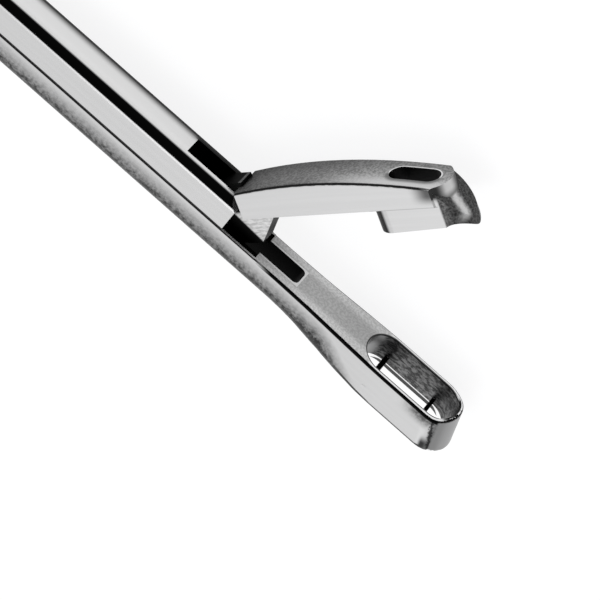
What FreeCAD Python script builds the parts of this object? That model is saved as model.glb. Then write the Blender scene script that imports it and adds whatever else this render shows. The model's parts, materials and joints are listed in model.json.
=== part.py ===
import FreeCAD, Part
import math
import os
from FreeCAD import Vector

# Ring-handled biopsy punch, lying on its side. +X runs along the shaft to the jaws,
# +Y is the side that the jaws open to, and +Z is across the instrument.
# The origin is the centre of the thumb ring, on the middle plane of the instrument.
# Millimetres and degrees.

# Overall layout
working_length = 200.0
thumb_lever = 86.0
thumb_angle = 218.0
rings_closed_angle = 24.0
handle_drop = 7.6

# Shaft: a fixed rail below, a sliding bar above
bar_width = 4.15
slide_height = 3.44
slide_gap = 0.05
crown_radius = 2.2
crown_turn = 35.0
bar_edge_radius = 0.7
slide_rear_inset = 0.5
rail_depth = 3.5
rail_corner = 1.9
parting_chamfer = 0.12

# Fixed jaw, measured forward from the jaw pivot
nose_reach = 26.8
jaw_flare = 0.45
jaw_depth = 3.9
jaw_corner = 0.5
jaw_top_round = 0.2
flare_start = 7.0
flare_end = 20.0
flare_steps = 4
nose_lean = 0.28
lip_rise = 0.7
lip_run = 1.9
lip_sag = 0.2
window_rear = 16.45
rim_wall = 0.43
window_bevel = 0.9
relief_front = 4.3
relief_rear = 5.0
relief_depth = 0.35
relief_rim = 0.26
jaw_slot_front = 8.5
jaw_slot_rear = 2.4
jaw_slot_corner = 0.5

# Pins that cross the window below the bite
cross_pin_drop = 2.5
rear_cross_pin_inset = 2.25
rear_cross_pin_radius = 0.25
front_cross_pin_inset = 2.17
front_cross_pin_radius = 0.2

# Jaw linkage
jaw_swing = 53.7
pivot_depth = 1.15
link_height = 2.8
link_trim = 0.984
link_slot_gap = 0.06
link_end_gap = 0.03
pin_radius = 0.55
running_clearance = 0.05
fork_length = 6.6
fork_overhang = 0.45
fork_nose_height = 2.6
fork_nose_run = 1.2

# Upper jaw, drawn closed and measured from the jaw pivot
web_thickness = 1.85
web_side_gap = 0.06
jaw_gap = 0.05
heel_rear = 3.95
heel_height = 2.6
crown_x = 11.0
crown_height = 3.1
bend_x = 18.4
bend_height = 2.65
shoulder_setback = 1.2
shoulder_height = 1.48
shoulder_round = 1.2
shoulder_step = 0.25
jaw_edge_round = 0.3
cutter_rear_gap = 0.15
cutter_front_gap = 0.57
cutter_side_gap = 0.12
cutter_depth = 2.25
cutter_rear_slope = 0.8
cutter_rear_round = 0.4
cutter_wall = 0.4
cutter_rear_wall = 0.9
cutter_roof = 0.75
beak_depth = 2.8
beak_length = 1.95
beak_wall = 1.35
beak_face_height = 1.3
beak_face_inset = 0.15
beak_brow_setback = 0.85
beak_brow_bulge = 0.05
beak_root_depth = 1.97
beak_hollow_inset = 1.05
beak_hollow_depth = 1.8
bite_slot_rear_inset = 2.3
bite_slot_front_inset = 1.0
bite_slot_width = 2.0
lobe_front_x = 6.1
lobe_front_y = -0.74
lobe_foot_x = 4.1
lobe_foot_y = -3.05
boss_radius = 1.55
root_overlap = 0.3

# Guide studs of the sliding bar
front_stud_setback = 24.0
rear_stud_lead = 23.2
stud_stem_radius = 0.55
stud_head_radius = 1.15
stud_head_thickness = 0.55
stud_shoulder = 1.0
stud_root_depth = 1.6
stud_gap = 0.1
keyhole_offset = 3.6

# Drive between the front handle and the sliding bar
drive_pin_height = 1.2
drive_pin_radius = 0.6
drive_arm_thickness = 2.0
drive_arm_wall = 0.55
drive_arm_foot = 2.2
drive_arm_side_gap = 0.1
drive_slot_half_length = 3.3
drive_pocket_half_length = 2.4
drive_pocket_headroom = 0.5

# Hub and pivot screw
hub_thickness = 7.6
hub_half_length = 15.0
hub_round = 6.3
hub_step = 3.0
gap_radius = 18.0
saddle_drop = 0.1
tongue_side_gap = 0.075
tongue_radius = 3.8
screw_radius = 2.0
screw_head_radius = 3.4
screw_head_height = 0.9
screw_head_recess = 0.8
screw_slot_width = 0.7
screw_slot_depth = 0.45
screw_slot_turn = 35.0
screw_edge_round = 0.25
rivet_radius = 0.9
rivet_inset = 3.0

# Handles and rings
ring_bore_radius = 12.3
ring_section_radius = 2.4
ring_bore_inset = 0.3
rear_shank_half_width = 3.8
rear_shank_side_step = 0.02
rear_shank_root = 3.0
shank_bow = 2.0
front_shank_half_width = 2.9
front_shank_half_thickness = 2.5
front_shank_setback = 0.8
shank_end_swell = 0.2

# Sizes that follow from the ones above
half_bar = bar_width / 2
half_jaw = half_bar + jaw_flare
half_hub = hub_thickness / 2
window_front = nose_reach - rim_wall
window_half = half_jaw - rim_wall
cutter_half = window_half - cutter_side_gap
cutter_rear = window_rear + cutter_rear_gap
cutter_front = window_front - cutter_front_gap
shoulder_x = cutter_front - shoulder_setback
rear_cross_pin_x = window_rear + rear_cross_pin_inset
front_cross_pin_x = window_front - front_cross_pin_inset
half_web = web_thickness / 2
half_slot = half_web + web_side_gap
slide_top = slide_gap + slide_height
travel = 2 * link_height * math.tan(math.radians(jaw_swing / 2)) * link_trim
drive_radius = handle_drop + drive_pin_height
handle_swing = 2 * math.degrees(math.atan(travel / 2 / drive_radius))
screw_x = nose_reach - working_length
link_pin_y = link_height - pivot_depth
thumb_x = screw_x + thumb_lever * math.cos(math.radians(thumb_angle))
thumb_y = -handle_drop + thumb_lever * math.sin(math.radians(thumb_angle))
hub_rear = screw_x - hub_half_length
slide_rear = hub_rear + slide_rear_inset
rivet_reach = hub_half_length - rivet_inset
rivet_y = -rail_depth / 2
ring_radius = ring_bore_radius + ring_section_radius - ring_bore_inset
finger_angle = thumb_angle + rings_closed_angle + handle_swing
half_tongue = half_bar - tongue_side_gap
half_arm_pocket = drive_arm_thickness / 2 + drive_arm_side_gap
rear_stud_x = screw_x + rear_stud_lead
front_stud_x = -front_stud_setback
guide_places = {
    "rear_guide_stud": rear_stud_x,
    "middle_guide_stud": (rear_stud_x + front_stud_x) / 2,
    "front_guide_stud": front_stud_x,
}


def outline(path, at):
    """A closed wire. Each step of the path is a point, or an (arc middle, arc end) pair."""
    edges = []
    here = path[0]
    for step in path[1:] + [path[0]]:
        if isinstance(step[0], tuple):
            middle, end = step
            edges.append(Part.Arc(at(here), at(middle), at(end)).toShape())
        else:
            end = step
            if math.dist(here, end) > 1e-6:
                edges.append(Part.LineSegment(at(here), at(end)).toShape())
        here = end
    return Part.Wire(edges)


def side_prism(path, half):
    """A side outline in X and Y, as thick as half on each side of the middle plane."""
    face = Part.Face(outline(path, lambda p: Vector(p[0], p[1], -half)))
    return face.extrude(Vector(0, 0, 2 * half))


def plan_prism(path, top, bottom, lean=0.0):
    """A plan outline in X and Z that is true at y = 0 and leans forward going down."""
    face = Part.Face(outline(path, lambda p: Vector(p[0] - lean * top, top, p[1])))
    return face.extrude(Vector(lean * (top - bottom), bottom - top, 0))


def oblong(rear, front, half):
    """Plan outline with straight sides and round ends."""
    return [
        (rear + half, -half),
        (front - half, -half),
        ((front, 0.0), (front - half, half)),
        (rear + half, half),
        ((rear, 0.0), (rear + half, -half)),
    ]


def cross_pin(x, y, radius, half):
    """A pin or a bore that crosses the instrument."""
    return Part.makeCylinder(radius, 2 * half, Vector(x, y, -half), Vector(0, 0, 1))


def upright(x, low, high, radius):
    """A stud or a bore that stands along Y."""
    return Part.makeCylinder(radius, high - low, Vector(x, low, 0), Vector(0, 1, 0))


def polar(centre_x, centre_y, distance, angle):
    turn = math.radians(angle)
    return (centre_x + distance * math.cos(turn), centre_y + distance * math.sin(turn))


def slot_prism(start, end, half_width, half):
    """A round-ended slot between two points of the side view, cut across the instrument."""
    along = Vector(end[0] - start[0], end[1] - start[1], 0)
    length = along.Length
    bar = Part.makeBox(length, 2 * half_width, 2 * half, Vector(0, -half_width, -half))
    turn = math.degrees(math.atan2(along.y, along.x))
    bar.rotate(Vector(0, 0, 0), Vector(0, 0, 1), turn)
    bar.translate(Vector(start[0], start[1], 0))
    ends = [cross_pin(start[0], start[1], half_width, half), cross_pin(end[0], end[1], half_width, half)]
    return bar.fuse(ends).removeSplitter()


def rail_section(x, width, depth, corner, top_round):
    """Section of the rail: flat top with rounded edges, flat sides, rounded belly."""
    side = width / 2
    chord = corner * (1 - math.sqrt(0.5))
    top_chord = top_round * (1 - math.sqrt(0.5))
    path = [
        (-top_round, side),
        (-depth + corner, side),
        ((-depth + chord, side - chord), (-depth, side - corner)),
        (-depth, corner - side),
        ((-depth + chord, chord - side), (-depth + corner, -side)),
        (-top_round, -side),
        ((-top_chord, top_chord - side), (0.0, top_round - side)),
        (0.0, side - top_round),
        ((-top_chord, side - top_chord), (-top_round, side)),
    ]
    return outline(path, lambda p: Vector(x, p[0], p[1]))


def flare_section(share):
    """Section of the flare, from the shaft at share 0 to the full jaw at share 1."""
    x = flare_start + share * (flare_end - flare_start)
    ease = share * share * (3 - 2 * share)
    width = bar_width + ease * 2 * jaw_flare
    depth = rail_depth + ease * (jaw_depth - rail_depth)
    corner = rail_corner + ease * (jaw_corner - rail_corner)
    return rail_section(x, width, depth, corner, jaw_top_round)


def bar_section(x):
    """Section of the sliding bar: crowned top that turns tighter into the flat sides."""
    turn = math.radians(crown_turn)
    edge_z = half_bar - bar_edge_radius
    join_z = edge_z + bar_edge_radius * math.sin(turn)
    join_y = slide_top - crown_radius * (1 - math.cos(turn))
    edge_y = join_y - bar_edge_radius * math.cos(turn)
    flat_z = join_z - crown_radius * math.sin(turn)
    steep = (turn + math.pi / 2) / 2
    edge_middle = (edge_y + bar_edge_radius * math.cos(steep), edge_z + bar_edge_radius * math.sin(steep))
    crown_y = slide_top - crown_radius
    crown_middle = (crown_y + crown_radius * math.cos(turn / 2), flat_z + crown_radius * math.sin(turn / 2))
    path = [
        (slide_gap + parting_chamfer, half_bar),
        (edge_y, half_bar),
        (edge_middle, (join_y, join_z)),
        (crown_middle, (slide_top, flat_z)),
        (slide_top, -flat_z),
        ((crown_middle[0], -crown_middle[1]), (join_y, -join_z)),
        ((edge_middle[0], -edge_middle[1]), (edge_y, -half_bar)),
        (slide_gap + parting_chamfer, -half_bar),
        (slide_gap, parting_chamfer - half_bar),
        (slide_gap, half_bar - parting_chamfer),
    ]
    return outline(path, lambda p: Vector(x, p[0], p[1]))


def fillet_edges(shape, radius, wanted):
    edges = [edge for edge in shape.Edges if wanted(edge)]
    return shape.makeFillet(radius, edges)


def make_rail():
    """Fixed rail of the shaft, running into the fixed jaw with its window."""
    rear_wire = rail_section(hub_rear, bar_width, rail_depth, rail_corner, parting_chamfer)
    straight = Part.Face(rear_wire).extrude(Vector(relief_front - hub_rear, 0, 0))
    neck_wire = rail_section(relief_front, bar_width, rail_depth, rail_corner, jaw_top_round)
    neck = Part.Face(neck_wire).extrude(Vector(flare_start - relief_front, 0, 0))
    flare_wires = [flare_section(step / flare_steps) for step in range(flare_steps + 1)]
    flare = Part.makeLoft(flare_wires, True, False)
    jaw_run = window_front - window_half - flare_end
    jaw_flat = Part.Face(flare_wires[-1]).extrude(Vector(jaw_run, 0, 0))
    rail = straight.fuse([neck, flare, jaw_flat, make_nose(flare_end + jaw_run)])
    rail = rail.cut(plan_prism(oblong(window_rear, window_front, window_half), 2.0, -2 * jaw_depth))
    bevel_top = window_bevel - jaw_depth
    bevel = Part.makeLoft(
        [
            outline(
                oblong(window_rear, window_front, window_half),
                lambda p: Vector(p[0], bevel_top, p[1]),
            ),
            outline(
                oblong(window_rear - rim_wall, window_front + rim_wall, half_jaw - 0.1),
                lambda p: Vector(p[0], -jaw_depth - 0.05, p[1]),
            ),
        ],
        True,
        True,
    )
    rail = rail.cut(bevel)
    relief = Part.makeBox(
        relief_front + relief_rear,
        relief_depth + 1.0,
        2 * (half_bar - relief_rim),
        Vector(-relief_rear, -relief_depth, relief_rim - half_bar),
    )
    slot = Part.makeBox(jaw_slot_front + jaw_slot_rear, 2 * rail_depth, 2 * half_slot)
    slot.translate(Vector(-jaw_slot_rear, -1.5 * rail_depth, -half_slot))
    slot = fillet_edges(slot, jaw_slot_corner, lambda e: abs(e.tangentAt(e.FirstParameter).y) > 0.99)
    drive_slot = Part.makeBox(2 * drive_slot_half_length, 3 * rail_depth, 2 * half_arm_pocket)
    drive_slot.translate(Vector(screw_x - drive_slot_half_length, -2 * rail_depth, -half_arm_pocket))
    rail = rail.cut([relief, slot, drive_slot])
    bores = [
        cross_pin(0.0, -pivot_depth, pin_radius, half_jaw),
        cross_pin(rear_cross_pin_x, -cross_pin_drop, rear_cross_pin_radius, half_jaw + 1),
        cross_pin(front_cross_pin_x, -cross_pin_drop, front_cross_pin_radius, half_jaw + 1),
    ]
    bores += [cross_pin(x, rivet_y, rivet_radius, half_hub) for x in rivet_places()]
    bores += [upright(x, -stud_root_depth, 1.0, stud_stem_radius) for x in guide_places.values()]
    return rail.cut(bores)


def make_nose(start):
    """Round front of the fixed jaw, leaning forward towards its belly."""
    tail = start - 2 * nose_lean * jaw_depth
    path = [
        (tail, -half_jaw),
        (start, -half_jaw),
        ((nose_reach, 0.0), (start, half_jaw)),
        (tail, half_jaw),
    ]
    nose = plan_prism(path, 2 * lip_rise, -jaw_depth, nose_lean)
    nose = fillet_edges(nose, jaw_corner, lambda e: is_low_rim(e, -jaw_depth))
    nose = nose.cut(side_prism(lip_space(), bar_width))
    nose = fillet_edges(nose, jaw_top_round, is_high_rim)
    behind = Part.makeBox(5.0, 20.0, 20.0, Vector(start - 5.0, -10.0, -10.0))
    return nose.cut(behind)


def is_low_rim(edge, level):
    """An edge of the belly face, apart from the one across its rear."""
    box = edge.BoundBox
    return box.YMax < level + 0.001 and box.XLength > 0.001


def is_high_rim(edge):
    """An edge round the top of the nose, apart from those that run straight across."""
    box = edge.BoundBox
    return box.YMin > -0.001 and box.XLength > 0.001


def rivet_places():
    return [screw_x - rivet_reach, screw_x + rivet_reach]


def lip_space():
    """Space above the fixed jaw: its flat face, then the lip that rises at the tip."""
    lip_start = nose_reach - lip_run
    above = 3 * lip_rise
    return [
        (0.0, 0.0),
        (lip_start, 0.0),
        ((lip_start + lip_run / 2, lip_rise * lip_sag), (nose_reach, lip_rise)),
        (nose_reach + 2.0, above),
        (0.0, above),
    ]


def make_slide():
    """Sliding bar with its fork, T-slots and the pocket for the drive arm."""
    front = fork_overhang
    length = front - slide_rear
    bar = Part.Face(bar_section(slide_rear)).extrude(Vector(length, 0, 0))
    nose_cut = side_prism(
        [
            (front + 1.0, fork_nose_height - fork_nose_run * 0.7),
            (front, fork_nose_height),
            (front - fork_nose_run, slide_top),
            (front - fork_nose_run, slide_top + 1.0),
            (front + 1.0, slide_top + 1.0),
        ],
        bar_width,
    )
    fork = Part.makeBox(fork_length + 1.0, slide_top + 2.0, 2 * half_slot)
    fork.translate(Vector(front - fork_length, -1.0, -half_slot))
    pocket_top = drive_pin_height + drive_pin_radius + drive_arm_wall + drive_pocket_headroom
    pocket_x = screw_x - travel / 2
    pocket = Part.makeBox(2 * drive_pocket_half_length, pocket_top + 1.0, 2 * half_arm_pocket)
    pocket.translate(Vector(pocket_x - drive_pocket_half_length, -1.0, -half_arm_pocket))
    cuts = [nose_cut, fork, pocket]
    cuts.append(cross_pin(pocket_x, drive_pin_height, drive_pin_radius, bar_width))
    cuts.append(cross_pin(-travel / 2, link_pin_y, pin_radius, bar_width))
    for place in guide_places.values():
        cuts += guide_slot(place)
    return bar.cut(cuts)


def guide_slot(place):
    """T-slot for one guide stud, with the round hole that its head enters by."""
    rear = place - travel - stud_gap
    front = place + stud_gap
    neck = stud_stem_radius + running_clearance
    head = stud_head_radius + stud_gap
    ceiling = stud_shoulder + stud_head_thickness + stud_gap
    head_floor = stud_shoulder - running_clearance
    keyhole = place - travel - keyhole_offset
    return [
        plan_prism(oblong(keyhole - neck, front + neck, neck), stud_shoulder, -1.0),
        plan_prism(oblong(rear - keyhole_offset - head, front + head, head), ceiling, head_floor),
        upright(keyhole, -1.0, ceiling, head),
    ]


def make_guide_stud(place):
    stem = upright(place, -stud_root_depth, stud_shoulder + stud_head_thickness / 2, stud_stem_radius)
    head = upright(place, stud_shoulder, stud_shoulder + stud_head_thickness, stud_head_radius)
    return stem.fuse(head)


def make_upper_jaw():
    """Upper jaw, drawn closed and then swung open about its pivot."""
    jaw = make_arm().fuse([make_cutter_block(), make_web()])
    bite_half = cutter_half - cutter_wall
    cavity = oblong(cutter_rear + cutter_rear_wall, cutter_front - beak_wall, bite_half)
    jaw = jaw.cut(plan_prism(cavity, cutter_roof, -beak_depth - 1))
    slot_rear = cutter_rear + bite_slot_rear_inset
    slot_front = shoulder_x - bite_slot_front_inset
    jaw = jaw.cut(plan_prism(oblong(slot_rear, slot_front, bite_slot_width / 2), crown_height + 1, 0.0))
    half_angle = jaw_swing / 2
    reach_far = math.hypot(travel / 2, link_height)
    start = polar(0.0, -pivot_depth, link_height - link_end_gap, 90 - half_angle)
    end = polar(0.0, -pivot_depth, reach_far + link_end_gap, 90 - half_angle)
    jaw = jaw.cut(slot_prism(start, end, pin_radius + link_slot_gap, half_bar))
    jaw = jaw.cut(cross_pin(0.0, -pivot_depth, pin_radius + running_clearance, half_bar))
    jaw.rotate(Vector(0, -pivot_depth, 0), Vector(0, 0, 1), jaw_swing)
    return jaw


def make_arm():
    """Full-width arm: curved top, flat underside, round front in plan."""
    front = shoulder_x + shoulder_setback / 2
    rear_top = Vector(heel_rear, heel_height, -half_bar)
    front_top = Vector(front, shoulder_height, -half_bar)
    curve = Part.BSplineCurve()
    crown = Vector(crown_x, crown_height, -half_bar)
    bend = Vector(bend_x, bend_height, -half_bar)
    curve.interpolate([rear_top, crown, bend, front_top])
    rear_low = Vector(heel_rear, jaw_gap, -half_bar)
    front_low = Vector(front, jaw_gap, -half_bar)
    wire = Part.Wire(
        [
            curve.toShape(),
            Part.LineSegment(front_top, front_low).toShape(),
            Part.LineSegment(front_low, rear_low).toShape(),
            Part.LineSegment(rear_low, rear_top).toShape(),
        ]
    )
    arm = Part.Face(wire).extrude(Vector(0, 0, bar_width))
    shoulder_side = shoulder_x - shoulder_round
    plan = [
        (heel_rear - 1, -half_bar),
        (shoulder_side, -half_bar),
        ((shoulder_x, 0.0), (shoulder_side, half_bar)),
        (heel_rear - 1, half_bar),
    ]
    arm = arm.common(plan_prism(plan, crown_height + 2, -1.0))
    return fillet_edges(arm, jaw_edge_round, lambda e: is_arm_top_edge(e))


def is_arm_top_edge(edge):
    box = edge.BoundBox
    return box.XLength > 10 and box.YMin > 0.5 and box.ZLength < 0.001


def make_cutter_block():
    """Cutter that hangs under the front of the arm, with its hooked beak."""
    front = cutter_front
    step_y = shoulder_height - shoulder_step
    hollow = (front - beak_hollow_inset, -beak_hollow_depth)
    face_top = (front - beak_face_inset, beak_face_height - beak_depth)
    brow_top = (shoulder_x - beak_brow_setback, step_y)
    brow_middle = (
        (face_top[0] + brow_top[0]) / 2 + beak_brow_bulge,
        (face_top[1] + brow_top[1]) / 2 + beak_brow_bulge / 2,
    )
    roof = cutter_roof + root_overlap / 2
    low_round = cutter_rear_round * (1 - math.sqrt(0.5))
    side = [
        (cutter_rear + cutter_rear_round, -cutter_depth),
        (front - beak_length, -beak_root_depth),
        (hollow, (front, -beak_depth)),
        face_top,
        (brow_middle, brow_top),
        (shoulder_x - beak_length, step_y),
        (shoulder_x - beak_length, roof),
        (cutter_rear + cutter_rear_slope, roof),
        (cutter_rear, cutter_rear_round - cutter_depth),
        (
            (cutter_rear + low_round, low_round - cutter_depth),
            (cutter_rear + cutter_rear_round, -cutter_depth),
        ),
    ]
    plan = plan_prism(oblong(cutter_rear, cutter_front, cutter_half), crown_height, -beak_depth - 1)
    return side_prism(side, half_bar).common(plan)


def make_web():
    """Thin plate behind and under the heel: pivot boss, link boss and front lobe."""
    half_angle = jaw_swing / 2
    link_reach = math.hypot(travel / 2, link_height)
    boss_top = polar(0.0, -pivot_depth, link_reach + boss_radius, 90 - half_angle)
    boss_side = polar(0.0, -pivot_depth, link_reach, 90 - half_angle)
    boss_rear = polar(boss_side[0], boss_side[1], boss_radius - root_overlap, 180 - half_angle)
    slope = (lobe_front_x - lobe_foot_x) / (lobe_front_y - lobe_foot_y)
    lobe_top = jaw_gap + root_overlap
    path = [
        (lobe_front_x + (lobe_top - lobe_front_y) * slope, lobe_top),
        (lobe_foot_x, lobe_foot_y),
        (0.0, -pivot_depth - boss_radius),
        ((-boss_radius, -pivot_depth), (-boss_radius * 0.8, -pivot_depth + boss_radius * 0.6)),
        boss_rear,
        boss_top,
        (heel_rear + root_overlap, boss_top[1]),
        (heel_rear + root_overlap, lobe_top),
    ]
    return side_prism(path, half_web)


def make_rear_handle():
    """Rear handle: the hub with its two cheeks, the shank and the thumb ring."""
    top = handle_drop - saddle_drop
    shank_at = gap_radius
    centre = polar(0.0, 0.0, shank_at, thumb_angle)
    upper = polar(centre[0], centre[1], rear_shank_half_width, thumb_angle - 90)
    lower = polar(centre[0], centre[1], rear_shank_half_width, thumb_angle + 90)
    path = [
        (-hub_half_length, top),
        (hub_half_length, top),
        (hub_half_length, top - hub_step),
        (hub_round, 0.0),
        (polar(0.0, 0.0, hub_round, 315.0), (0.0, -hub_round)),
        lower,
        upper,
        (-hub_half_length, top - hub_step),
    ]
    hub = side_prism(path, half_hub)
    shank = make_shank(
        thumb_angle,
        shank_at - rear_shank_root,
        (rear_shank_half_width, half_hub - rear_shank_side_step),
        (ring_section_radius + shank_end_swell, ring_section_radius),
    )
    handle = hub.fuse([shank, make_ring(thumb_angle)])
    handle = handle.cut(ring_bore(thumb_angle))
    gap = Part.makeCylinder(gap_radius, bar_width, Vector(0, 0, -half_bar))
    cuts = [gap, cross_pin(0.0, 0.0, screw_radius, half_hub + 1)]
    recess_floor = half_hub - screw_head_recess
    recess_radius = screw_head_radius + running_clearance
    cuts.append(Part.makeCylinder(recess_radius, half_hub, Vector(0, 0, recess_floor)))
    rivet_height = rivet_y + handle_drop
    cuts += [cross_pin(x, rivet_height, rivet_radius, half_hub + 1) for x in (-rivet_reach, rivet_reach)]
    return from_screw(handle.cut(cuts))


def make_shank(angle, start, first, last):
    """Tapered oval bar from the hub to the ring, bowed a little backward."""
    sections = []
    count = 6
    end = thumb_lever - ring_radius
    for step in range(count):
        share = step / (count - 1)
        distance = start + share * (end - start)
        bow = -shank_bow * math.sin(math.pi * share)
        at = polar(0.0, 0.0, distance, angle)
        centre = Vector(*polar(at[0], at[1], bow, angle + 90), 0)
        half_width = first[0] + share * (last[0] - first[0])
        half_thickness = first[1] + share * (last[1] - first[1])
        across = Vector(*polar(centre.x, centre.y, half_width, angle + 90), 0)
        above = centre + Vector(0, 0, half_thickness)
        sections.append(Part.Wire([Part.Ellipse(across, above, centre).toShape()]))
    return Part.makeLoft(sections, True, False)


def make_ring(angle):
    centre = Vector(*polar(0.0, 0.0, thumb_lever, angle), 0)
    return Part.makeTorus(ring_radius, ring_section_radius, centre, Vector(0, 0, 1))


def ring_bore(angle):
    centre = Vector(*polar(0.0, 0.0, thumb_lever, angle), -half_hub)
    return Part.makeCylinder(ring_bore_radius, hub_thickness, centre)


def make_front_handle():
    """Front handle: drive arm, tongue between the cheeks, shank and finger ring."""
    start = gap_radius + front_shank_setback
    near = polar(0.0, 0.0, start + front_shank_half_width / 2, finger_angle)
    tongue_path = [
        polar(0.0, 0.0, front_shank_half_width, finger_angle + 90),
        polar(near[0], near[1], front_shank_half_width, finger_angle + 90),
        polar(near[0], near[1], front_shank_half_width, finger_angle - 90),
        polar(0.0, 0.0, front_shank_half_width, finger_angle - 90),
    ]
    tongue = side_prism(tongue_path, half_tongue)
    disc = cross_pin(0.0, 0.0, tongue_radius, half_tongue)
    shank = make_shank(
        finger_angle,
        start,
        (front_shank_half_width, front_shank_half_thickness),
        (ring_section_radius + shank_end_swell / 2, ring_section_radius),
    )
    handle = tongue.fuse([disc, shank, make_ring(finger_angle), make_drive_arm()])
    screw_bore = cross_pin(0.0, 0.0, screw_radius + running_clearance, half_hub)
    handle = handle.cut([ring_bore(finger_angle), screw_bore])
    return from_screw(handle)


def make_drive_arm():
    """Thin arm above the pivot screw, slotted for the drive pin, leaning back at rest."""
    slot_low = drive_radius - running_clearance
    slot_high = math.hypot(drive_radius, travel / 2) + running_clearance
    half_top = drive_pin_radius + drive_arm_wall + running_clearance
    top = slot_high + drive_pin_radius + drive_arm_wall
    path = [
        (-drive_arm_foot, 0.0),
        (drive_arm_foot, 0.0),
        (half_top, top - half_top),
        ((0.0, top), (-half_top, top - half_top)),
    ]
    arm = side_prism(path, drive_arm_thickness / 2)
    slot = slot_prism((0.0, slot_low), (0.0, slot_high), drive_pin_radius + running_clearance, half_bar)
    arm = arm.cut(slot)
    arm.rotate(Vector(0, 0, 0), Vector(0, 0, 1), handle_swing / 2)
    return arm


def make_pivot_screw():
    """Slotted screw: its shank carries the front handle and ends in the far cheek."""
    head_low = half_hub - screw_head_recess
    shank = Part.makeCylinder(screw_radius, half_hub + head_low, Vector(0, 0, -half_hub))
    head = Part.makeCylinder(screw_head_radius, screw_head_height, Vector(0, 0, head_low))
    top = head_low + screw_head_height
    head = fillet_edges(head, screw_edge_round, lambda e: e.BoundBox.ZMin > top - 0.01)
    slot = Part.makeBox(4 * screw_head_radius, screw_slot_width, 1.0)
    slot.translate(Vector(-2 * screw_head_radius, -screw_slot_width / 2, top - screw_slot_depth))
    slot.rotate(Vector(0, 0, 0), Vector(0, 0, 1), screw_slot_turn)
    return from_screw(shank.fuse(head).cut(slot))


def from_screw(shape):
    """Moves a shape drawn about the pivot screw to its place on the shaft."""
    shape.translate(Vector(screw_x, -handle_drop, 0))
    return shape


def make_rivets():
    return Part.makeCompound([cross_pin(x, rivet_y, rivet_radius, half_hub) for x in rivet_places()])


def save(node, shape):
    """Moves a piece from the shaft's frame to the thumb ring's frame and writes it."""
    shape.translate(Vector(-thumb_x, -thumb_y, 0))
    solids = shape.Solids
    kept = solids[0] if len(solids) == 1 else Part.makeCompound(solids)
    if not kept.isValid():
        print(node, "is not valid")
    kept.exportStep("parts/" + node + ".step")
    print(node, len(solids), "solid(s)", round(sum(s.Volume for s in solids), 3), "mm3")


os.makedirs("parts", exist_ok=True)
save("fixed_rail", make_rail())
save("sliding_bar", make_slide())
save("upper_jaw", make_upper_jaw())
save("rear_handle", make_rear_handle())
save("front_handle", make_front_handle())
save("pivot_screw", make_pivot_screw())
save("hub_rivets", make_rivets())
save("jaw_pivot_pin", cross_pin(0.0, -pivot_depth, pin_radius, half_bar))
save("jaw_link_pin", cross_pin(-travel / 2, link_pin_y, pin_radius, half_bar))
save("drive_pin", cross_pin(screw_x - travel / 2, drive_pin_height, drive_pin_radius, half_bar))
save("rear_cross_pin", cross_pin(rear_cross_pin_x, -cross_pin_drop, rear_cross_pin_radius, half_jaw))
save("front_cross_pin", cross_pin(front_cross_pin_x, -cross_pin_drop, front_cross_pin_radius, half_jaw))
for node, place in guide_places.items():
    save(node, make_guide_stud(place))
print("travel", round(travel, 4), "handle_swing", round(handle_swing, 4))
print("finger_angle", round(finger_angle, 3))
print("jaw pivot", round(-thumb_x, 4), round(-pivot_depth - thumb_y, 4))
print("screw", round(screw_x - thumb_x, 4), round(-handle_drop - thumb_y, 4))
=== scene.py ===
import json
import math
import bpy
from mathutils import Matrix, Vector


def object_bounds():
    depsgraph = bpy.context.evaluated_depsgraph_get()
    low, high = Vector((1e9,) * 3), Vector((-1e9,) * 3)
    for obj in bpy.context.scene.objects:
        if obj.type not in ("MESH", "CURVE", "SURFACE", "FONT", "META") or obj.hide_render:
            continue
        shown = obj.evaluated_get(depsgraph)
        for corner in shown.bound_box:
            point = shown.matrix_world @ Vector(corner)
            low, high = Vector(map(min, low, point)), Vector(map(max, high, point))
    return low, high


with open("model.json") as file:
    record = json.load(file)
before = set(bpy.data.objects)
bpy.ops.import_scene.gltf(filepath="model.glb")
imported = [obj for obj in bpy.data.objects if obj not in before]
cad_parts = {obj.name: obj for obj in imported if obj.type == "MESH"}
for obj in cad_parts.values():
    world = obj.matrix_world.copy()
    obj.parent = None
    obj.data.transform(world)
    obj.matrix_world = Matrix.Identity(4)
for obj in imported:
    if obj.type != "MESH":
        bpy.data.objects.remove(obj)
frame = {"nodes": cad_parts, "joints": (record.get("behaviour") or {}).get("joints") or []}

from types import SimpleNamespace

import bpy
from mathutils import Matrix, Vector

# Biopsy punch on a pale floor, seen from close above its open jaws.
# Metres, in the row's frame: +X to the jaws, +Y the side that they open to, +Z up.

cad_low, cad_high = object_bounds()
nodes = frame["nodes"]
MM = 0.001

# Places that the looks are worked out from
joints = {joint["name"]: joint for joint in frame["joints"]}
jaw_pivot = Vector(joints["upper_jaw_swing"]["pos_m"])
jaw_open = math.radians(joints["upper_jaw_swing"]["range_deg"][1])
pivot_depth = 1.15
parting_y = jaw_pivot.y + pivot_depth * MM
floor_z = cad_low.z

# Camera
camera_distance = 300 * MM
camera_frame_width = 52.17 * MM
camera_sensor = 36.0
view_roll = math.radians(41.4)
aim = jaw_pivot + Vector((9.62, 0.1, 1.05)) * MM

# Light and floor
sky_level = 0.7
key_level = 0.3
dark_share = 0.35
diagonal = 0.7071
lamp_watts = 2.0
floor_level = 0.22
floor_glow = 0.85
floor_shade_reach = 25 * MM
floor_half = 3.0

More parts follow.
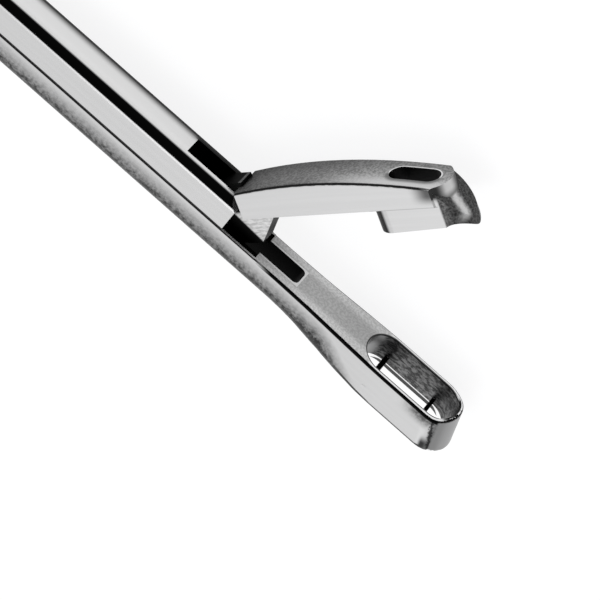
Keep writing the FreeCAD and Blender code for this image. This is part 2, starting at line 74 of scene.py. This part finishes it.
# Sizes that the paint follows, in millimetres, the same as in the part
half_bar = 2.075
half_jaw = 2.525
flare_start = 7.0
flare_end = 20.0
relief_front = 4.3
relief_rear = 5.0
relief_half = 1.835
slot_half = 1.0
slot_rear = -2.4
slot_front = 8.5
fork_rear = -6.15
window_rear = 16.45
window_front = 26.37
window_half = 2.095
lip_start = 24.9
lip_rise = 0.7
nose_tip = 26.8
pins_rear = 18.4
pins_front = 24.42
bite_middle = 21.25
bite_run = 1.35

# Levels of the steel, where 1 is white
bar_side_level = 0.57
# Painted light: the top of the sliding bar is painted lighter than its sides
bar_top_lit_level = 0.74
rail_side_level = 0.55
jaw_side_level = 0.57
jaw_face_level = 0.5
# Dark top of the upper jaw: partly its blasted finish, partly painted shade
jaw_top_level = 0.17
# Painted shade: black for recesses, slots and pins that lie in shade
recess_shade_level = 0.002
# Painted dark reflection: black for the lines on round edges
dark_reflection_level = 0.003
shade_level = 0.012

# Roughness of the steel
satin_roughness = 0.36
edge_roughness = 0.3
blasted_roughness = 0.5

# Rounding of the sharp edges
flat_angle = 0.4
sharp_angle = 28.0
bevel_segments = 3
bump_height = 0.01 * MM


class Shader:
    """Short forms for building a node tree."""

    def __init__(self, tree):
        self.tree = tree
        tree.nodes.clear()

    def add(self, kind, **values):
        node = self.tree.nodes.new("ShaderNode" + kind)
        for name, value in values.items():
            if name.startswith("in_"):
                self.feed(node, int(name[3:]), value)
            else:
                setattr(node, name, value)
        return node

    def feed(self, node, socket, value):
        if isinstance(value, bpy.types.NodeSocket):
            self.tree.links.new(value, node.inputs[socket])
        else:
            node.inputs[socket].default_value = value

    def math(self, operation, first, second=0.0):
        return self.add("Math", operation=operation, in_0=first, in_1=second).outputs[0]

    def times(self, first, *others):
        for other in others:
            first = self.math("MULTIPLY", first, other)
        return first

    def plus(self, first, second):
        return self.math("ADD", first, second)

    def minus(self, first, second):
        return self.math("SUBTRACT", first, second)

    def larger(self, first, second):
        return self.math("MAXIMUM", first, second)

    def smaller(self, first, second):
        return self.math("MINIMUM", first, second)

    def size(self, value):
        return self.math("ABSOLUTE", value)

    def ramp(self, value, low, high, start=0.0, end=1.0):
        """Runs smoothly from start to end as the value goes from low to high."""
        node = self.add("MapRange", interpolation_type="SMOOTHSTEP", in_0=value)
        for socket, number in zip((1, 2, 3, 4), (low, high, start, end)):
            self.feed(node, socket, number)
        return node.outputs[0]

    def fall(self, value, low, high):
        """One up to low, and nought from high on."""
        return self.ramp(value, low, high, 1.0, 0.0)

    def band(self, value, start, full, fade, gone):
        """One between full and fade, and nought outside start and gone."""
        return self.times(self.ramp(value, start, full), self.fall(value, fade, gone))

    def level(self, value):
        return self.add("CombineColor", in_0=value, in_1=value, in_2=value).outputs[0]

    def mix(self, share, first, second):
        return self.add("Mix", data_type="RGBA", in_0=share, in_6=first, in_7=second).outputs[2]

    def paint(self, colour, mask, level):
        """Covers the colour with one grey where the mask is one."""
        return self.mix(mask, colour, grey(level))

    def shade(self, colour, mask, value):
        """Covers the colour with a grey that varies over the surface."""
        return self.mix(mask, colour, self.level(value))

    def noise(self, vector, scale, detail=3.0, roughness=0.55):
        node = self.add("TexNoise", in_0=vector, in_2=scale, in_3=detail, in_4=roughness)
        return node.outputs[0]

    def stretched(self, vector, x, y, z):
        node = self.add("VectorMath", operation="MULTIPLY", in_0=vector, in_1=(x, y, z))
        return node.outputs[0]

    def split(self, vector):
        return self.add("SeparateXYZ", in_0=vector).outputs

    def dot(self, vector, direction):
        node = self.add("VectorMath", operation="DOT_PRODUCT", in_0=vector, in_1=direction)
        return node.outputs[1]

    def from_oblong(self, along, across, middle, run):
        """Distance from the middle line of an oblong hole."""
        beyond = self.larger(self.minus(self.size(self.minus(along, middle)), run), 0.0)
        return self.math("SQRT", self.plus(self.times(beyond, beyond), self.times(across, across)))


def grey(level):
    return (level, level, level * 1.005, 1.0)


def new_material(name):
    material = bpy.data.materials.new(name)
    material.use_nodes = True
    return material, Shader(material.node_tree)


def begin(name):
    """A material with its places in millimetres from the jaw pivot's spot on the parting plane."""
    material, s = new_material(name)
    coords = s.add("TexCoord").outputs
    origin = (jaw_pivot.x, parting_y, 0.0)
    shifted = s.add("VectorMath", operation="SUBTRACT", in_0=coords["Object"], in_1=origin).outputs[0]
    place = s.add("VectorMath", operation="SCALE", in_0=shifted, in_3=1.0 / MM).outputs[0]
    return material, s, place, coords["Normal"]


def finish(material, s, colour, roughness, grain, bump_share=0.1):
    bump = s.add("Bump", in_0=bump_share, in_2=grain)
    bump.inputs["Distance"].default_value = bump_height
    shader = s.add("BsdfPrincipled")
    shader.inputs["Metallic"].default_value = 1.0
    s.tree.links.new(colour, shader.inputs["Base Color"])
    s.tree.links.new(roughness, shader.inputs["Roughness"])
    s.tree.links.new(bump.outputs[0], shader.inputs["Normal"])
    out = s.add("OutputMaterial")
    s.tree.links.new(shader.outputs[0], out.inputs[0])
    return material


def satin(s, place, level):
    """Smooth satin colour with a faint lengthwise grain."""
    fine = s.noise(s.stretched(place, 0.06, 2.5, 2.5), 1.0, 4.0)
    share = s.ramp(fine, 0.3, 0.7)
    return s.mix(share, grey(level * 0.98), grey(level * 1.02)), fine


def blasted(s, place, level, spread):
    """Bead-blasted colour, mottled in small soft spots."""
    spots = s.noise(place, 4.5, 3.0, 0.6)
    share = s.ramp(spots, 0.36, 0.64)
    value = s.ramp(share, 0.0, 1.0, s.times(level, 1.0 - spread), s.times(level, 1.0 + spread))
    return s.level(value), spots


def make_steel(name, flat, edge, rough_flat, rough_edge, grain):
    """Satin steel for the handles and pins: flats with a fine grain, and polished round edges painted
    darker as a painted dark reflection.
    """
    material, s, place, normal = begin(name)
    # Painted dark reflection: round edges, found by their slant, painted darker
    edge_mask = s.band(s.size(s.split(normal)[2]), 0.22, 0.5, 0.86, 0.97)
    fine = s.noise(s.stretched(place, *grain), 1.0, 4.0)
    broad = s.noise(place, 0.26, 3.0)
    share = s.ramp(s.plus(s.times(fine, 0.75), s.times(broad, 0.25)), 0.36, 0.64)
    flat_colour = s.mix(share, grey(flat * 0.9), grey(flat * 1.08))
    colour = s.paint(flat_colour, edge_mask, edge)
    roughness = s.ramp(edge_mask, 0.0, 1.0, rough_flat, rough_edge)
    return finish(material, s, colour, roughness, fine)


def make_bar_steel():
    """Sliding bar: satin sides and a crown painted lighter, with painted shade towards its far side; a
    polished round edge between them painted black as a painted dark reflection; painted shade on the far
    cheek, along the parting line and in the fork slot.
    """
    material, s, place, normal = begin("bar_steel")
    x, y, z = s.split(place)
    up, side = s.split(normal)[1:]
    colour, fine = satin(s, place, bar_side_level)
    # Painted light and shade: the crown painted lighter, darkening towards its far side
    top_value = s.times(s.ramp(z, -1.6, -0.3, 0.06, 1.0), bar_top_lit_level)
    colour = s.shade(colour, s.ramp(up, 0.6, 0.8), top_value)
    # Painted dark reflection: the round edge between side and crown painted black
    edge = s.times(s.band(s.size(side), 0.31, 0.41, 0.93, 0.97), s.ramp(up, 0.05, 0.2))
    colour = s.paint(colour, edge, 0.004)
    # Painted shade: the far cheek by the fork painted black
    far_cheek = s.times(s.ramp(x, fork_rear - 0.5, fork_rear + 0.2), s.fall(z, -0.95, -0.85))
    colour = s.paint(colour, s.times(far_cheek, s.ramp(up, 0.1, 0.2)), 0.0)
    # Painted shade: a dark line along the parting line at the foot of the bar
    parting = s.fall(y, 0.19, 0.24)
    colour = s.paint(colour, s.times(parting, 0.9), 0.01)
    # Painted shade: the inside of the fork slot painted black
    in_fork = s.times(s.fall(s.size(z), slot_half, slot_half + 0.03), s.ramp(x, fork_rear - 0.1, fork_rear))
    colour = s.paint(colour, s.times(in_fork, s.fall(up, 0.5, 0.8)), recess_shade_level)
    roughness = s.ramp(edge, 0.0, 1.0, satin_roughness, edge_roughness)
    return finish(material, s, colour, roughness, fine, 0.05)


def rail_places(s, place, normal):
    """Place and direction of a point of the rail, and how far it is below the rim of the jaw."""
    x, y, z = s.split(place)
    ahead, up, side = s.split(normal)
    run = s.larger(s.math("DIVIDE", s.minus(x, lip_start), nose_tip - lip_start), 0.0)
    return SimpleNamespace(
        place=place,
        x=x,
        y=y,
        z=z,
        ahead=ahead,
        up=up,
        steep=s.size(side),
        wide=s.size(z),
        below_rim=s.minus(s.times(run, run, lip_rise), y),
        patches=s.noise(place, 2.4, 4.0, 0.65),
    )


def paint_belly(s, at, colour):
    """Painted shade on the belly of the shaft, and a thin dark line of painted shade along the belly of the
    jaw.
    """
    # Painted shade: the belly darkens downwards, mottled, and fades out at the jaw
    start = s.ramp(at.x, 12.0, 19.5, -0.3, -3.1)
    depth = s.math("DIVIDE", s.minus(start, at.y), 2.2)
    shade = s.times(depth, s.ramp(at.patches, 0.3, 0.7, 0.8, 1.4))
    shade = s.smaller(s.larger(shade, 0.0), 1.0)
    shade = s.times(shade, s.ramp(at.x, 16.5, 19.0, 0.95, 0.0), s.ramp(at.steep, 0.2, 0.6))
    colour = s.paint(colour, shade, shade_level)
    # Painted shade: a thin dark line on the lower round edge of the jaw
    low_edge = s.times(s.band(at.steep, 0.2, 0.5, 0.97, 0.998), s.fall(at.y, -3.0, -2.0))
    return s.paint(colour, s.times(low_edge, s.ramp(at.x, 14.0, 17.0, 0.0, 0.95)), shade_level)


def paint_nose(s, at, colour):
    """Round nose painted greyer where it faces forward, as painted shade, behind an uneven dark line
    painted where it turns.
    """
    # Painted shade: an uneven dark line where the nose turns, and the forward-facing nose greyer
    uneven = s.ramp(s.noise(at.place, 3.0, 4.0, 0.7), 0.3, 0.7, -0.04, 0.04)
    turned = s.plus(s.plus(at.ahead, uneven), s.times(at.y, 0.06))
    line = s.band(turned, 0.22, 0.3, 0.34, 0.44)
    colour = s.paint(colour, s.ramp(at.ahead, 0.3, 0.5), 0.19)
    return s.paint(colour, s.times(line, 0.93), 0.015)


def paint_face(s, at, colour):
    """Blasted face of the fixed jaw, with painted light towards its edges, darker towards the front, and a
    painted white highlight round the window.
    """
    face = s.ramp(at.up, 0.7, 0.9)
    # Painted light: the face lighter towards its edges; it also darkens towards the front
    edge_light = s.ramp(at.wide, 0.6, 1.9)
    value = s.ramp(edge_light, 0.0, 1.0, jaw_face_level, jaw_face_level * 1.45)
    value = s.times(value, s.ramp(at.x, 9.0, 16.0, 1.0, 0.82))
    face_colour, spots = blasted(s, at.place, value, 0.12)
    # Painted highlight: the narrow rim round the window and the front of the face painted white
    rim = s.ramp(at.x, window_rear + 1.0, window_rear + 1.4)
    rim = s.times(rim, s.ramp(at.wide, window_half - 0.1, window_half))
    rim = s.larger(rim, s.ramp(at.x, 24.3, 24.6))
    face_colour = s.paint(face_colour, rim, 0.85)
    return s.mix(face, colour, face_colour), face, spots


def paint_edge_lines(s, at, face, colour):
    """Darker patch behind the nose, black lines of painted dark reflection along the rims of the jaw, and a
    line of painted shade along the parting line of the shaft.
    """
    half = s.ramp(at.x, flare_start, flare_end, half_bar, half_jaw)
    jaw_part = s.ramp(at.x, relief_front - 0.3, relief_front + 2.0)
    # A darker mottled patch on the side behind the nose, below the rim
    dark_behind_nose = s.times(s.band(at.x, 21.5, 24.2, 24.9, 25.6), s.fall(at.below_rim, 0.3, 1.7))
    dark_behind_nose = s.times(dark_behind_nose, s.ramp(at.patches, 0.3, 0.7, 0.7, 1.3), s.fall(at.up, 0.3, 0.6))
    colour = s.paint(colour, s.times(s.smaller(dark_behind_nose, 1.0), 0.85), 0.02)
    # Painted dark reflection: black lines on the round edges along the rims of the jaw
    line_depth = s.minus(at.below_rim, s.ramp(at.x, 24.8, 26.2, 0.0, 0.2))
    side_line = s.times(s.fall(line_depth, 0.26, 0.34), s.fall(at.up, 0.93, 0.98), jaw_part)
    colour = s.paint(colour, side_line, dark_reflection_level)
    top_line = s.times(s.fall(s.minus(half, at.wide), 0.12, 0.17), face)
    top_line = s.times(top_line, jaw_part, s.fall(at.x, 23.5, 24.2))
    colour = s.paint(colour, top_line, dark_reflection_level)
    # Painted shade: a dark line just below the parting line along the shaft
    shaft_line = s.times(s.ramp(at.y, -0.14, -0.1), s.fall(at.x, relief_front, relief_front + 1.0))
    return s.paint(colour, s.times(shaft_line, s.fall(at.up, 0.9, 0.97)), 0.02)


def paint_window(s, at, colour):
    """Rough walls inside the window painted dark as shade, with painted light and reflection on some faces
    and painted shadow by the pins; its two pins painted black as shade; and a dark line of painted
    reflection round its rim.
    """
    # Painted shade: the walls inside the window are dark, with a rough wavy grain
    waves = s.noise(s.stretched(at.place, 0.45, 1.0, 1.0), 4.5, 3.0, 0.55)
    wall = s.mix(s.ramp(waves, 0.36, 0.64), grey(0.05), grey(0.2))
    # Painted light on the forward-facing walls, and a black band of painted shade just under the rim
    wall = s.paint(wall, s.ramp(at.ahead, 0.45, 0.6), 0.3)
    wall = s.paint(wall, s.fall(at.below_rim, 0.12, 0.2), 0.01)
    # Painted shadow on the far wall beside the pins
    by_pins = s.larger(s.band(at.x, 17.0, 17.9, 19.0, 20.2), s.band(at.x, 23.9, 24.3, 24.5, 25.2))
    by_pins = s.times(by_pins, s.fall(at.z, -1.4, -0.4), s.ramp(waves, 0.3, 0.6, 1.0, 0.6))
    wall = s.paint(wall, s.times(by_pins, 0.9), shade_level)
    # Painted reflection: the downward-facing lower round edge painted white
    wall = s.paint(wall, s.fall(at.up, -0.12, -0.05), 1.0)
    inside = s.fall(at.wide, window_half + 0.03, window_half + 0.08)
    inside = s.times(inside, s.ramp(at.x, window_rear - 0.1, window_rear - 0.05), s.fall(at.up, 0.3, 0.6))
    colour = s.mix(inside, colour, wall)
    # Painted shade: the pins inside the window painted black
    pins = s.band(at.x, pins_rear - 0.04, pins_rear, pins_front, pins_front + 0.04)
    colour = s.paint(colour, s.times(pins, s.fall(at.wide, 2.0, 2.05)), recess_shade_level)
    window_middle = (window_rear + window_front) / 2
    window_run = (window_front - window_rear) / 2 - window_half
    reach = s.from_oblong(at.x, at.z, window_middle, window_run)
    # Painted dark reflection: a dark line round the rim of the window
    ring = s.band(reach, window_half - 0.06, window_half - 0.02, window_half + 0.07, window_half + 0.13)
    ring = s.times(ring, s.ramp(at.up, 0.1, 0.3), s.fall(at.x, 25.2, 25.8))
    return s.paint(colour, s.times(ring, 0.9), 0.006)


def paint_recesses(s, at, colour):
    """Relief at the heel and the jaw slot painted black as shade, with a light line round the slot on the
    face as a painted highlight.
    """
    # Painted shade: the relief at the heel painted black
    relief = s.times(
        s.band(at.x, -relief_rear - 0.05, -relief_rear, relief_front, relief_front + 0.05),
        s.band(at.y, -0.8, -0.7, -0.1, -0.04),
        s.fall(at.wide, relief_half, relief_half + 0.05),
    )
    colour = s.paint(colour, relief, recess_shade_level)
    # Painted highlight: a light line round the slot on the face
    slot_edge = s.times(
        s.band(at.x, relief_front, relief_front + 0.2, slot_front + 0.14, slot_front + 0.2),
        s.fall(at.wide, slot_half + 0.12, slot_half + 0.18),
        s.ramp(at.up, 0.3, 0.6),
    )
    colour = s.paint(colour, s.times(slot_edge, 0.8), 0.9)
    # Painted shade: the jaw slot painted black
    slot = s.times(
        s.band(at.x, slot_rear - 0.1, slot_rear, slot_front + 0.03, slot_front + 0.06),
        s.fall(at.wide, slot_half, slot_half + 0.02),
        s.fall(at.up, 0.3, 0.6),
    )
    return s.paint(colour, slot, recess_shade_level)


def make_rail_steel():
    """Rail and fixed jaw: satin sides, painted shade on the belly, blasted jaw face with painted light,
    black edge lines of painted dark reflection, and recesses painted dark as shade.
    """
    material, s, place, normal = begin("rail_steel")
    at = rail_places(s, place, normal)
    colour, fine = satin(s, place, rail_side_level)
    colour = paint_belly(s, at, colour)
    colour = paint_nose(s, at, colour)
    colour, face, spots = paint_face(s, at, colour)
    colour = paint_edge_lines(s, at, face, colour)
    colour = paint_window(s, at, colour)
    colour = paint_recesses(s, at, colour)
    roughness = s.ramp(face, 0.0, 1.0, satin_roughness, blasted_roughness)
    return finish(material, s, colour, roughness, s.ramp(face, 0.0, 1.0, fine, spots), 0.25)


def jaw_places(s, place, normal):
    """Place and direction of a point of the upper jaw, turned back to the closed jaw."""
    x, y, z = s.split(place)
    turn_x = math.cos(jaw_open)
    turn_y = math.sin(jaw_open)
    raised = s.plus(y, pivot_depth)
    along = s.plus(s.times(x, turn_x), s.times(raised, turn_y))
    height = s.minus(s.minus(s.times(raised, turn_x), s.times(x, turn_y)), pivot_depth)
    return SimpleNamespace(
        place=place,
        x=x,
        y=y,
        z=z,
        along=along,
        height=height,
        closed=s.add("CombineXYZ", in_0=along, in_1=height, in_2=z).outputs[0],
        upward=s.dot(normal, (-turn_y, turn_x, 0.0)),
        forward=s.dot(normal, (turn_x, turn_y, 0.0)),
        steep=s.size(s.split(normal)[2]),
        wide=s.size(z),
        reach=s.from_oblong(along, z, bite_middle, bite_run),
    )


def paint_jaw_top(s, at, colour):
    """Blasted top with painted shade and light, lighter to the near edge, a painted highlight on the rim of
    its bite slot with painted shadow beside it, and a dark edge line of painted reflection.
    """
    # Painted shade: the top darker to the rear and to the far side
    base = s.ramp(at.along, 10.0, 21.0, jaw_top_level, jaw_top_level * 2.0)
    base = s.times(base, s.ramp(at.z, -2.0, 0.8, 0.65, 1.1))
    top_colour, spots = blasted(s, at.place, base, 0.28)
    # Painted light: a lighter sheen towards the front of the near side
    glow = s.times(s.ramp(at.along, 11.0, 20.0), s.ramp(at.z, 0.1, 1.7))
    top_colour = s.paint(top_colour, glow, 0.62)
    # Painted highlight on the rim of the bite slot, with painted shadow beside it
    rim = s.times(s.band(at.reach, 0.95, 1.0, 1.08, 1.16), s.fall(at.z, -0.1, 0.4))
    top_colour = s.paint(top_colour, rim, 0.8)
    shadow = s.times(s.band(at.reach, 0.98, 1.0, 1.1, 1.6), s.ramp(at.z, 0.0, 0.5))
    top_colour = s.paint(top_colour, s.times(shadow, 0.8), 0.1)
    top = s.ramp(at.upward, 0.5, 0.75)
    colour = s.mix(top, colour, top_colour)
    # Painted dark reflection: a dark line on the round edge between top and side
    line = s.times(s.band(at.steep, 0.45, 0.6, 0.93, 0.97), s.ramp(at.upward, 0.1, 0.25))
    colour = s.paint(colour, s.times(line, s.fall(at.along, 22.5, 23.5)), 0.02)
    return colour, top, spots


def paint_shoulder(s, at, block, colour):
    """Painted shade where the front of the arm turns down to the cutter, fading below, and painted shading
    down the high part of the cutter block.
    """
    # Painted shade: the arm's turning front dark, lighter low down
    shoulder = s.times(s.ramp(at.forward, 0.1, 0.3), s.ramp(at.along, 21.5, 22.5))
    shoulder = s.times(shoulder, s.fall(at.upward, 0.3, 0.6))
    value = s.larger(s.ramp(at.forward, 0.5, 0.9, 0.03, 0.3), s.ramp(at.height, 0.5, 0.9, 0.5, 0.0))
    colour = s.shade(colour, shoulder, value)
    # Painted shading: the high part of the cutter block darkens upwards
    high = s.times(block, s.ramp(at.height, 0.35, 0.5), s.fall(at.upward, 0.6, 0.9))
    return s.shade(colour, high, s.ramp(at.height, 0.5, 1.0, 0.5, 0.02))


def paint_beak(s, at, block, colour):
    """Speckled beak painted dark as shade, with one soft painted highlight streak that slants over it."""
    # Painted shade: the beak painted dark and speckled
    beak = s.times(block, s.ramp(at.along, 23.75, 24.0), s.fall(at.upward, 0.65, 0.8))
    uneven = s.ramp(s.noise(at.closed, 2.2, 3.0, 0.6), 0.3, 0.7, -0.1, 0.1)
    # Painted highlight: a soft light streak slanting over the beak
    streak_z = s.minus(0.39, s.times(at.height, 0.393))
    aside = s.size(s.minus(s.plus(at.z, uneven), streak_z))
    shine = s.times(s.fall(aside, 0.05, 0.85), s.band(at.height, -2.1, -1.2, 0.1, 0.6))
    speckle = s.ramp(s.noise(at.closed, 5.0, 3.0, 0.6), 0.36, 0.64, 0.03, 0.09)
    return s.shade(colour, beak, s.plus(speckle, s.times(shine, 0.5)))


def paint_front_wall(s, at, colour):
    """Round front of the arm painted dark as shade, with painted reflection light in its middle and at its
    foot, and a painted white highlight on the edge above it.
    """
    # Painted shade on the round front, with painted reflection light in its middle and at its near foot
    wall = s.times(s.ramp(at.forward, 0.3, 0.5), s.fall(at.upward, 0.25, 0.45), s.ramp(at.height, 0.1, 0.5))
    middle = s.times(s.band(at.z, -0.9, 0.4, 0.9, 1.7), s.ramp(at.height, 0.3, 1.0, 0.15, 0.5))
    foot = s.times(s.ramp(at.height, 0.5, 0.9, 0.5, 0.0), s.ramp(at.z, 1.6, 1.9))
    colour = s.shade(colour, wall, s.larger(s.plus(middle, 0.045), foot))
    # Painted highlight: the round edge above the front painted white
    edge = s.times(s.band(at.forward, 0.12, 0.3, 0.75, 0.9), s.band(at.upward, 0.3, 0.5, 0.93, 0.98))
    edge = s.times(edge, s.ramp(at.z, -0.8, 0.2), s.ramp(at.height, 1.3, 1.4))
    return s.paint(colour, edge, 0.97)


def paint_cutter(s, at, colour):
    """Rear of the cutter painted dark as shade, painted shade on the front of the arm's side above it, and
    the seam between the two.
    """
    # Painted shade: the rear of the cutter painted dark
    rear = s.times(s.fall(at.forward, -0.35, -0.15), s.fall(at.height, 0.0, 0.05))
    colour = s.paint(colour, s.times(rear, s.ramp(at.along, 10.0, 11.0)), shade_level)
    # Painted shade: the front of the arm's side darkened above the cutter
    arm_front_shade = s.times(s.ramp(at.along, 21.3, 23.2), s.ramp(at.height, 0.1, 1.2))
    arm_front_shade = s.times(arm_front_shade, s.ramp(at.steep, 0.85, 0.95), s.ramp(at.wide, 2.0, 2.04))
    colour = s.paint(colour, s.times(arm_front_shade, 0.85), 0.02)
    seam = s.times(s.band(at.height, -0.06, 0.0, 0.06, 0.12), s.band(at.along, 16.8, 17.2, 23.6, 23.8))
    return s.paint(colour, s.times(seam, 0.55), 0.25)


def paint_heel(s, at, top, colour):
    """Inside of the bite slot painted dark as shade, a painted highlight on the heel, and the web painted
    dark as shade, its streaked lobe lit above a painted shadow line.
    """
    # Painted shade: the inside of the bite slot painted dark
    in_slot = s.times(
        s.fall(at.reach, 1.01, 1.04),
        s.ramp(at.height, 0.1, 0.3),
        s.fall(at.upward, 0.5, 0.75),
    )
    colour = s.paint(colour, in_slot, 0.035)
    # Painted highlight on the rear face of the heel
    heel = s.times(s.fall(at.forward, -0.7, -0.5), s.fall(at.along, 3.8, 4.4))
    colour = s.paint(colour, heel, 0.7)
    # Painted shade: the web painted dark; its lobe is light only above a slanting painted shadow line, and
    # darker still on faces that do not face sideways
    web = s.times(s.fall(at.wide, 0.95, 1.0), s.fall(at.along, 6.9, 7.1))
    web = s.times(web, s.larger(s.minus(1.0, top), s.fall(at.along, 3.9, 4.0)))
    above_rail = s.minus(at.y, s.minus(1.5, s.times(at.x, 0.065)))
    lobe = s.times(s.ramp(above_rail, -0.1, 0.1), s.fall(at.height, -0.1, 0.2))
    streaks = s.noise(s.stretched(at.closed, 1.2, 5.0, 1.0), 1.0, 4.0, 0.6)
    value = s.plus(s.times(lobe, s.ramp(streaks, 0.35, 0.65, 0.42, 0.66)), 0.004)
    return s.shade(colour, web, s.times(value, s.ramp(at.steep, 0.5, 0.9, 0.08, 1.0)))


def make_jaw_steel():
    """Upper jaw: blasted top painted dark, partly as painted shade, satin sides, a thin dark edge line of
    painted reflection, and cutter rear and beak painted dark as shade.
    """
    material, s, place, normal = begin("jaw_steel")
    at = jaw_places(s, place, normal)
    block = s.times(s.ramp(at.along, 22.4, 22.6), s.fall(at.wide, 2.0, 2.04))
    colour, fine = satin(s, at.closed, jaw_side_level)
    colour, top, spots = paint_jaw_top(s, at, colour)
    colour = paint_shoulder(s, at, block, colour)
    colour = paint_beak(s, at, block, colour)
    colour = paint_front_wall(s, at, colour)
    colour = paint_cutter(s, at, colour)
    colour = paint_heel(s, at, top, colour)
    roughness = s.ramp(top, 0.0, 1.0, satin_roughness, blasted_roughness)
    return finish(material, s, colour, roughness, s.ramp(top, 0.0, 1.0, fine, spots), 0.25)


def set_material(piece, material):
    piece.data.materials.clear()
    piece.data.materials.append(material)


def soften(name, width):
    """Rounds the sharp edges of a piece and keeps its flats flat."""
    piece = nodes[name]
    merge = piece.modifiers.new("flats", "DECIMATE")
    merge.decimate_type = "DISSOLVE"
    merge.angle_limit = math.radians(flat_angle)
    bevel = piece.modifiers.new("edges", "BEVEL")
    bevel.width = width
    bevel.segments = bevel_segments
    bevel.limit_method = "ANGLE"
    bevel.angle_limit = math.radians(sharp_angle)
    bevel.use_clamp_overlap = True
    bevel.harden_normals = True
    for polygon in piece.data.polygons:
        polygon.use_smooth = True


def dress():
    bar_steel = make_bar_steel()
    rail_steel = make_rail_steel()
    jaw_steel = make_jaw_steel()
    # The second level of each steel is for its round edges, a painted dark reflection
    handle_steel = make_steel("handle_steel", 0.6, 0.42, 0.36, 0.24, (4.5, 4.5, 4.5))
    pin_steel = make_steel("pin_steel", 0.48, 0.1, 0.3, 0.26, (0.7, 6.0, 6.0))
    looks = {
        "sliding_bar": bar_steel,
        "fixed_rail": rail_steel,
        "upper_jaw": jaw_steel,
        "rear_handle": handle_steel,
        "front_handle": handle_steel,
        "jaw_pivot_pin": rail_steel,
        "rear_cross_pin": rail_steel,
        "front_cross_pin": rail_steel,
        "jaw_link_pin": bar_steel,
        "drive_pin": bar_steel,
    }
    for name, piece in nodes.items():
        set_material(piece, looks.get(name, pin_steel))
    soften("sliding_bar", 0.1 * MM)
    soften("fixed_rail", 0.12 * MM)
    soften("upper_jaw", 0.16 * MM)
    soften("rear_handle", 0.3 * MM)
    soften("front_handle", 0.25 * MM)
    soften("pivot_screw", 0.08 * MM)


def make_floor():
    """Pale floor that the instrument lies on; where metal reflects it, its glow carries a painted shadow
    round the instrument.
    """
    mesh = bpy.data.meshes.new("floor")
    half = floor_half
    corners = [(-half, -half, 0), (half, -half, 0), (half, half, 0), (-half, half, 0)]
    mesh.from_pydata(corners, [], [(0, 1, 2, 3)])
    floor = bpy.data.objects.new("floor", mesh)
    floor.location = (0.0, 0.0, floor_z)
    bpy.context.scene.collection.objects.link(floor)
    material, s = new_material("floor_white")
    rays = s.add("LightPath").outputs
    seen = s.larger(rays["Is Camera Ray"], s.larger(rays["Is Glossy Ray"], rays["Is Transmission Ray"]))
    # Painted shadow in reflections: for glossy rays the glow darkens near the instrument by ambient
    # occlusion; camera rays see it white
    open_share = s.add("AmbientOcclusion", samples=16, in_1=floor_shade_reach).outputs[1]
    shown = s.mix(rays["Is Glossy Ray"], grey(1.0), s.ramp(open_share, 0.2, 0.8))
    lit = s.add("BsdfDiffuse", in_0=grey(floor_level))
    glow = s.add("Emission", in_0=shown, in_1=s.times(seen, floor_glow))
    both = s.add("AddShader", in_0=lit.outputs[0], in_1=glow.outputs[0])
    out = s.add("OutputMaterial")
    s.tree.links.new(both.outputs[0], out.inputs[0])
    set_material(floor, material)


def make_world():
    """Soft studio: light from all round, brighter above one side, darker above the other."""
    world = bpy.data.worlds.new("studio")
    bpy.context.scene.world = world
    world.use_nodes = True
    s = Shader(world.node_tree)
    direction = s.add("TexCoord").outputs[0]
    dark = s.ramp(s.dot(direction, (0.0, diagonal, diagonal)), 0.68, 0.92)
    key = s.ramp(s.dot(direction, (0.0, -diagonal, diagonal)), 0.5, 0.95)
    level = s.plus(sky_level, s.times(key, key_level))
    level = s.times(level, s.minus(1.0, s.times(dark, dark_share)))
    back = s.add("Background", in_0=s.level(level), in_1=1.0)
    out = s.add("OutputWorld")
    s.tree.links.new(back.outputs[0], out.inputs[0])


def make_lamp(name, direction, distance, size, watts):
    data = bpy.data.lights.new(name, "AREA")
    data.shape = "RECTANGLE"
    data.size, data.size_y = size
    data.energy = watts
    lamp = bpy.data.objects.new(name, data)
    way = Vector(direction).normalized()
    lamp.location = aim + way * distance
    lamp.rotation_mode = "QUATERNION"
    lamp.rotation_quaternion = way.to_track_quat("Z", "Y")
    bpy.context.scene.collection.objects.link(lamp)


def make_camera():
    data = bpy.data.cameras.new("camera")
    data.sensor_width = camera_sensor
    data.lens = camera_sensor * camera_distance / camera_frame_width
    data.clip_start = 0.01
    data.clip_end = 20.0
    camera = bpy.data.objects.new("camera", data)
    back = Vector((0.0, 1.0, 1.0)).normalized()
    side = Vector((0.0, 1.0, -1.0)).normalized()
    along = Vector((1.0, 0.0, 0.0))
    right = along * math.cos(view_roll) + side * math.sin(view_roll)
    up = side * math.cos(view_roll) - along * math.sin(view_roll)
    turn = Matrix((right, up, back)).transposed()
    camera.matrix_world = Matrix.Translation(aim + back * camera_distance) @ turn.to_4x4()
    bpy.context.scene.collection.objects.link(camera)
    bpy.context.scene.camera = camera


dress()
make_floor()
make_world()
make_lamp("top", (0.2, -0.35, 1.0), 1.2, (0.5, 0.5), lamp_watts)
make_camera()
bpy.context.scene.view_settings.view_transform = "Standard"
